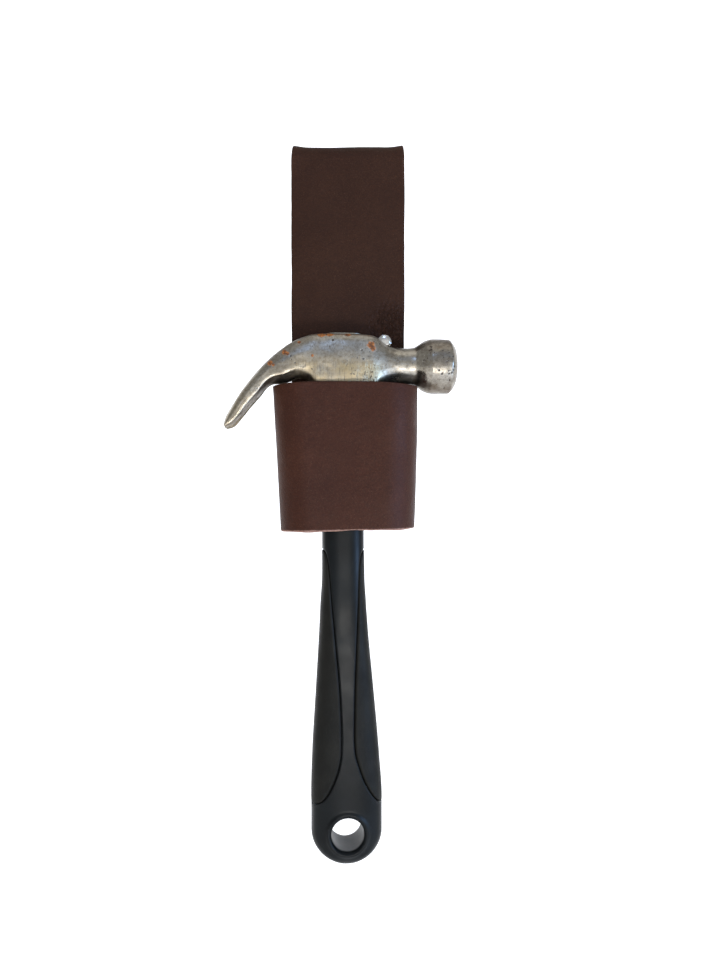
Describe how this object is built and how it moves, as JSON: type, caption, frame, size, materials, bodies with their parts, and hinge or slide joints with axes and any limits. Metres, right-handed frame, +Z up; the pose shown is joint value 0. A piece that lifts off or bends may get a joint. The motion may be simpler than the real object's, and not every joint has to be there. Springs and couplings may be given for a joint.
{
  "type": "hammer holster with hammer",
  "caption": "Leather hammer holster with a belt loop and a riveted sleeve, holding a curved-claw hammer with a moulded grip and a hang hole.",
  "frame": {"origin": "middle of the gap in the belt loop: halfway across the strap, halfway between its two legs, 30 mm above where the back leg starts to step in", "axes": "+Z up along the hanging hammer, +X to the right seen from the front, along the belt, +Y towards the wearer"},
  "size_m": [0.1296, 0.05, 0.409],
  "materials": {
    "strap_leather": "smooth dark brown strap leather, slight sheen",
    "sleeve_leather": "smooth dark reddish-brown strap leather, slight sheen",
    "rivet_metal": "polished nickel",
    "forged_steel": "worn bare steel with small rust spots and pits",
    "hard_plastic": "satin black moulded jacket",
    "soft_grip": "matte black soft grip",
    "fibreglass": "pultruded glass fibre, hidden",
    "epoxy": "cast epoxy, level in the eye"
  },
  "bodies": {
    "holster": {"belt_loop_strap": "strap_leather", "hammer_sleeve": "sleeve_leather", "loop_rivet_left_cap": "rivet_metal", "loop_rivet_left_post": "rivet_metal", "loop_rivet_right_cap": "rivet_metal", "loop_rivet_right_post": "rivet_metal", "sleeve_rivet_upper_left_cap": "rivet_metal", "sleeve_rivet_upper_left_post": "rivet_metal", "sleeve_rivet_upper_right_cap": "rivet_metal", "sleeve_rivet_upper_right_post": "rivet_metal", "sleeve_rivet_lower_left_cap": "rivet_metal", "sleeve_rivet_lower_left_post": "rivet_metal", "sleeve_rivet_lower_right_cap": "rivet_metal", "sleeve_rivet_lower_right_post": "rivet_metal"},
    "hammer": {"hammer_head": "forged_steel", "handle_core": "fibreglass", "eye_bond": "epoxy", "handle_jacket": "hard_plastic", "grip_panel_claw_side": "soft_grip", "grip_panel_face_side": "soft_grip"}
  },
  "joints": [
    {"name": "hammer_draw", "type": "slide", "parent": "holster", "child": "hammer", "axis": [0, 0, 1], "range_m": [0, 0.275]}
  ]
}
